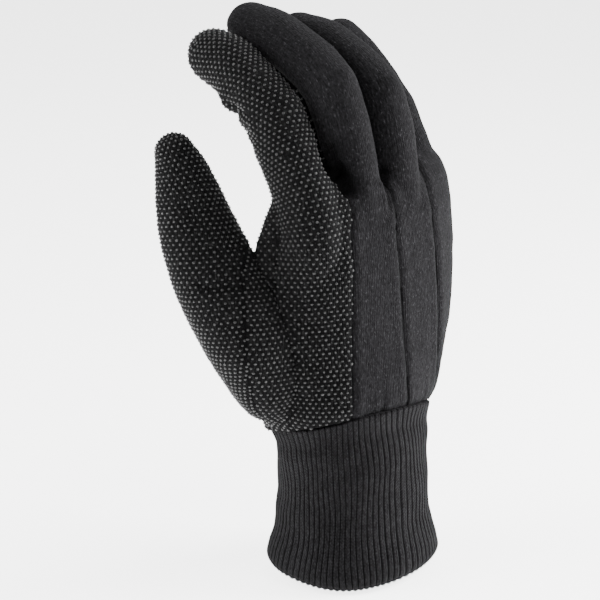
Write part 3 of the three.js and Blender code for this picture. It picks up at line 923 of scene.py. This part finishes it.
def cuffObject(material):
    around = cuff["ribs"] * cuff["samples"]
    angle = np.arange(around) * 2 * np.pi / around
    turn = angle * cuff["ribs"]
    low = waveHeight(rim, angle)
    high = waveHeight(wrist, angle) - cuff["gap"]
    rings = []
    for level in np.linspace(0, 1, cuff["levels"]):
        z = low + (high - low) * level
        rounding = np.clip(1 - level * cuff["rimFade"], 0, 1)
        neck = cuff["neck"] * np.exp(-((level - cuff["neckAt"]) / cuff["neckWidth"]) ** 2)
        neck = neck - cuff["shoulder"] * np.exp(-((level - 1) / cuff["neckWidth"]) ** 2)
        slump = sum(np.sin(level * rise + angle * turns + start) for rise, turns, start in cuff["slumps"])
        sway = sum(np.sin(level * rise + angle * turns) * share for rise, turns, share in cuff["sways"])
        shift = cuff["wobble"] * sway / cuff["radius"] + cuff["twist"] * np.sin(angle * 2 + 1) * level
        uneven = 1 + cuff["uneven"] * np.sin(angle * 17 + level * 9) * np.sin(angle * 11 - level * 14)
        ridge = ribProfile(turn) * cuff["depth"] * (1 - 0.5 * rounding) * uneven
        inset = -ridge + cuff["rimRounding"] * rounding ** 2 + neck + cuff["slump"] * slump
        x, halfWidth, palm, back = cuffSize(z)
        drop = cuff["scallop"] * np.cos(turn) * np.clip(1 - level * cuff["scallopFade"], 0, 1)
        rings.append(cuffRing(angle + shift, x, halfWidth - inset, palm - inset, back - inset, z - drop))
    for level in np.linspace(1, 0, cuff["levels"] // 2):
        z = low + (high - low) * level
        x, halfWidth, palm, back = cuffSize(z)
        wall = cuff["wall"]
        rings.append(cuffRing(angle, x, halfWidth - wall, palm - wall, back - wall, z))
    points = np.vstack(rings)
    faces = []
    for k in range(len(rings)):
        a = k * around
        b = ((k + 1) % len(rings)) * around
        for i in range(around):
            j = (i + 1) % around
            faces.append((a + i, a + j, b + j, b + i))
    obj = meshObject("cuff_knit", points, faces)
    layer = obj.data.uv_layers.new(name="grain")
    columns = np.empty(len(obj.data.loops), np.int32)
    obj.data.loops.foreach_get("vertex_index", columns)
    flat = np.column_stack([(columns % around) / around * cuff["ribs"], points[columns, 2] * mm])
    layer.data.foreach_set("uv", flat.astype(np.float32).ravel())
    for polygon in obj.data.polygons:
        polygon.use_smooth = True
    obj.data.materials.append(material)
    return obj


def cuffRing(angle, x, halfWidth, palm, back, z):
    c = np.cos(angle)
    s = np.sin(angle)
    power = 2 / skin["round"]
    depth = np.where(s < 0, palm, back)
    return np.column_stack([
        x + np.sign(c) * abs(c) ** power * halfWidth, np.sign(s) * abs(s) ** power * depth, z,
    ])


# Materials

# A shader socket that can be added, multiplied and so on.
class Wire:
    def __init__(self, look, socket):
        self.look = look
        self.socket = socket

    def __add__(self, other):
        return self.look.math("ADD", self, other)

    def __sub__(self, other):
        return self.look.math("SUBTRACT", self, other)

    def __rsub__(self, other):
        return self.look.math("SUBTRACT", other, self)

    def __mul__(self, other):
        return self.look.math("MULTIPLY", self, other)

    def __truediv__(self, other):
        return self.look.math("DIVIDE", self, other)

    def __pow__(self, other):
        return self.look.math("POWER", self, other)

    __radd__ = __add__
    __rmul__ = __mul__

    def sine(self):
        return self.look.math("SINE", self, 0)

    def cosine(self):
        return self.look.math("COSINE", self, 0)

    def between(self, low, high):
        return self.look.node("ShaderNodeMapRange", {"clamp": True},
                              {"Value": self, "From Min": low, "From Max": high}, "Result")


# A material under construction.
class Look:
    def __init__(self, name):
        self.material = bpy.data.materials.new(name)
        self.material.use_nodes = True
        self.tree = self.material.node_tree
        self.shader = self.tree.nodes["Principled BSDF"]

    def put(self, socket, value):
        if isinstance(value, Wire):
            self.tree.links.new(value.socket, socket)
        else:
            socket.default_value = value

    def node(self, kind, settings, values, output):
        made = self.tree.nodes.new(kind)
        for name, value in settings.items():
            setattr(made, name, value)
        for name, value in values.items():
            self.put(next(s for s in made.inputs if name in (s.identifier, s.name)), value)
        return Wire(self, next(s for s in made.outputs if output in (s.identifier, s.name)))

    def math(self, operation, a, b):
        made = self.tree.nodes.new("ShaderNodeMath")
        made.operation = operation
        self.put(made.inputs[0], a)
        self.put(made.inputs[1], b)
        return Wire(self, made.outputs[0])

    def mix(self, share, a, b):
        return self.node("ShaderNodeMix", {"data_type": "RGBA"},
                         {"Factor_Float": share, "A_Color": a, "B_Color": b}, "Result_Color")

    def noise(self, at, scale, detail=3.0, rough=0.5):
        return self.node("ShaderNodeTexNoise", {}, {"Vector": at, "Scale": scale, "Detail": detail,
                                                     "Roughness": rough}, "Fac")

    def stretched(self, at, scale):
        return self.node("ShaderNodeMapping", {}, {"Vector": at, "Scale": scale}, "Vector")

    def finish(self, **values):
        for name, value in values.items():
            self.put(self.shader.inputs[name.replace("_", " ")], value)
        return self.material


# A near-grey of one brightness, a little towards violet.
def grey(value, violet=0.0):
    return (value * (1 + violet / 4), value * (1 - violet / 4), value * (1 + violet), 1)


# Wales and courses are the knit's columns and rows to a metre.
jersey = {
    "dotted": {
        "dark": 0.0005, "light": 0.014, "violet": 0, "steep": 2.6,
        "flecks": 0.75, "sheen": 0.025, "fuzz": 1.2,
    },
    "plain": {
        "dark": 0.001, "light": 0.0145, "violet": 0.07, "steep": 1.3,
        "flecks": 1.0, "sheen": 0.035, "fuzz": 0.8,
    },
    # Besides the knit's counts: the strength of the painted shade in the creases, and how much paler the
    # flecks are.
    "wales": 1150, "courses": 900, "paintedCreaseShade": 0.9, "paler": 2.2,
}


# Brushed cotton jersey: heathered streaks along the grain, fine wales and a soft nap, with painted shade in
# the creases.
def jerseyMaterial(name, tone):
    look = Look(name)
    grain = look.node("ShaderNodeUVMap", {"uv_map": "grain"}, {}, "UV")
    place = look.node("ShaderNodeTexCoord", {}, {}, "Object")
    streak = look.noise(look.stretched(grain, (1250, 240, 1)), 1, 2, 0.6)
    flecks = look.noise(look.stretched(grain, (1400, 620, 1)), 1, 2, 0.6)
    speck = look.noise(place, 780, 1, 0.5)
    cloud = look.noise(place, 42, 3, 0.55)
    axes = look.node("ShaderNodeSeparateXYZ", {}, {"Vector": grain}, "X")
    up = look.node("ShaderNodeSeparateXYZ", {}, {"Vector": grain}, "Y")
    wale = (axes * jersey["wales"] * 2 * math.pi).sine() * 0.5 + 0.5
    course = (up * jersey["courses"] * 2 * math.pi + wale * 2).sine() * 0.5 + 0.5
    knit = wale * 0.6 + course * 0.4
    seam = look.node("ShaderNodeAttribute", {"attribute_name": "seam"}, {}, "Fac")
    shade = streak.between(0.36, 0.64) * 0.34 + flecks.between(0.36, 0.64) * 0.34
    shade = shade + cloud.between(0.3, 0.7) * 0.12 + speck.between(0.38, 0.62) * 0.2
    tones = (tone["dark"], tone["light"], tone["light"] * jersey["paler"])
    dark, light, palest = (grey(value, tone["violet"]) for value in tones)
    colour = look.mix(shade ** tone["steep"], dark, light)
    pale = look.mix(flecks.between(0.62, 0.72) * tone["flecks"], colour, palest)
    painted_crease_shade = look.node("ShaderNodeAttribute", {"attribute_name": "painted_crease_shade"}, {}, "Fac")
    colour = look.mix(seam.between(0.1, 1.1), grey(tone["dark"] * 0.5), pale)
    # Painted shade: the colour is pulled towards the dark tone where folds press the cloth in.
    colour = look.mix(painted_crease_shade * jersey["paintedCreaseShade"], colour, grey(tone["dark"]))
    nap = look.noise(place, 1500, 4, 0.75)
    height = knit * 0.4 + nap * tone["fuzz"] + flecks * 0.9 + speck * 0.8
    bump = look.node("ShaderNodeBump", {}, {"Height": height, "Strength": 0.8, "Distance": 0.0005}, "Normal")
    return look.finish(Base_Color=colour, Roughness=0.97, Sheen_Weight=tone["sheen"], Sheen_Roughness=0.6,
                       Sheen_Tint=(0.5, 0.5, 0.53, 1), Specular_IOR_Level=0.05, Normal=bump)


# Printed plastic, worn in patches.
def dotMaterial():
    look = Look("raised_dot_plastic")
    place = look.node("ShaderNodeTexCoord", {}, {}, "Object")
    worn = look.noise(place, 700, 3, 0.6)
    smear = look.noise(place, 45, 2, 0.5)
    colour = look.mix(worn.between(0.35, 0.7), grey(0.002), grey(0.008))
    rough = worn * 0.26 + smear * 0.12 + 0.14
    pits = look.noise(place, 1700, 2, 0.6)
    bump = look.node("ShaderNodeBump", {}, {"Height": pits, "Strength": 0.5, "Distance": 0.0003}, "Normal")
    return look.finish(Base_Color=colour, Roughness=rough, Specular_IOR_Level=0.55, Normal=bump)


# Ribbed knit: rows of loops on every rib, and painted shade in the valleys between the ribs.
def ribMaterial():
    look = Look("ribbed_knit")
    grain = look.node("ShaderNodeUVMap", {"uv_map": "grain"}, {}, "UV")
    place = look.node("ShaderNodeTexCoord", {}, {}, "Object")
    column = look.node("ShaderNodeSeparateXYZ", {}, {"Vector": grain}, "X")
    up = look.node("ShaderNodeSeparateXYZ", {}, {"Vector": grain}, "Y")
    awayFromValleyShade = (column * 2 * math.pi).cosine() * 0.5 + 0.5
    across = (column * 4 * math.pi).cosine()
    loops = (up * 2 * math.pi * cuff["courses"] + across * 2.2).sine() * 0.5 + 0.5
    cloud = look.noise(place, 55, 3, 0.6)
    fibre = look.noise(look.stretched(place, (1300, 1300, 480)), 1, 2, 0.6)
    nap = look.noise(place, 1150, 1, 0.5)
    shade = loops * 0.16 + cloud.between(0.3, 0.7) * 0.18
    shade = shade + nap.between(0.36, 0.64) * 0.3 + fibre.between(0.36, 0.64) * 0.36
    colour = look.mix(shade ** 1.6, grey(0.0013, 0.05), grey(0.018, 0.06))
    # Painted shade: the valleys between the ribs are painted near black.
    colour = look.mix(awayFromValleyShade.between(0.02, 0.22), grey(0.001), colour)
    height = loops * 0.5 + nap * 0.7 + fibre * 0.8
    bump = look.node("ShaderNodeBump", {}, {"Height": height, "Strength": 0.8, "Distance": 0.0005}, "Normal")
    return look.finish(Base_Color=colour, Roughness=0.96, Sheen_Weight=0.06, Sheen_Roughness=0.55,
                       Sheen_Tint=(0.45, 0.45, 0.47, 1), Specular_IOR_Level=0.05, Normal=bump)


# Floor, light and camera

def stageSet():
    look = Look("pale_paper")
    place = look.node("ShaderNodeTexCoord", {}, {}, "Object")
    look.finish(Base_Color=look.mix(look.noise(place, 3), grey(0.88), grey(0.9)), Roughness=0.9,
                Emission_Color=(1, 1, 1, 1), Emission_Strength=studio["glow"])
    span = studio["floorSpan"]
    z = studio["floor"]
    floor = meshObject("floor", [(-span, -span, z), (span, -span, z), (span, span, z), (-span, span, z)],
                       [(0, 1, 2, 3)])
    floor.data.materials.append(look.material)
    world = bpy.data.worlds.new("studio")
    bpy.context.scene.world = world
    world.use_nodes = True
    world.node_tree.nodes["Background"].inputs["Color"].default_value = (1, 1, 1, 1)
    world.node_tree.nodes["Background"].inputs["Strength"].default_value = studio["world"]


def areaLight(name, azimuth, elevation, distance, size, power):
    right, back, up = viewAxes(azimuth, elevation)
    light = bpy.data.lights.new(name, "AREA")
    light.shape = "SQUARE"
    light.size = size
    light.energy = power
    lamp = bpy.data.objects.new(name, light)
    bpy.context.collection.objects.link(lamp)
    lamp.matrix_world = Matrix((right, up, back)).transposed().to_4x4()
    lamp.location = Vector((0, 0, studio["middle"])) + back * distance


def makeCamera():
    lens = bpy.data.cameras.new("photo_camera")
    lens.lens = view["lens"]
    lens.sensor_width = view["sensor"]
    lens.clip_start = 0.05
    camera = bpy.data.objects.new("photo_camera", lens)
    bpy.context.collection.objects.link(camera)
    right, back, up = viewAxes(shots["back"]["azimuth"] - view["turn"], view["elevation"])
    camera.matrix_world = Matrix((right, up, back)).transposed().to_4x4()
    camera.location = shotPlace("back") * mm
    bpy.context.scene.camera = camera


# The glove

print("panels")
pieces = panelPieces()
looks = {
    "dotted": jerseyMaterial("dotted_jersey", jersey["dotted"]),
    "plain": jerseyMaterial("plain_jersey", jersey["plain"]),
}
dotLook = dotMaterial()
finished = []
for name, panel in panels.items():
    points, tris, extra = pieces[name]
    places, size, area = flatPlaces(name, extra["base"], tris, panel)
    cloth = clothObject(name.replace("panel", "cloth"), points, tris, places, extra, looks[panel["look"]])
    finished.append((cloth, name, panel["look"]))
    carried = []
    if panel["look"] == "dotted":
        found = dotPlaces(points, tris, places, extra["seam"])
        carried = [dotCloud(name.replace("panel", "dots"), found, dotLook)]
        finished.append((carried[0], None, "dotted"))
    tuple(size * mm)
    area * mm * mm
print("cuff")
cuffKnit = cuffObject(ribMaterial())
finished.append((cuffKnit, "knit_cuff", "ribbed"))

for piece, node, look in finished:
    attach(piece, "root")
    if node:
        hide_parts(node)

stageSet()
for name, lamp in lamps.items():
    areaLight(name, *lamp)
makeCamera()
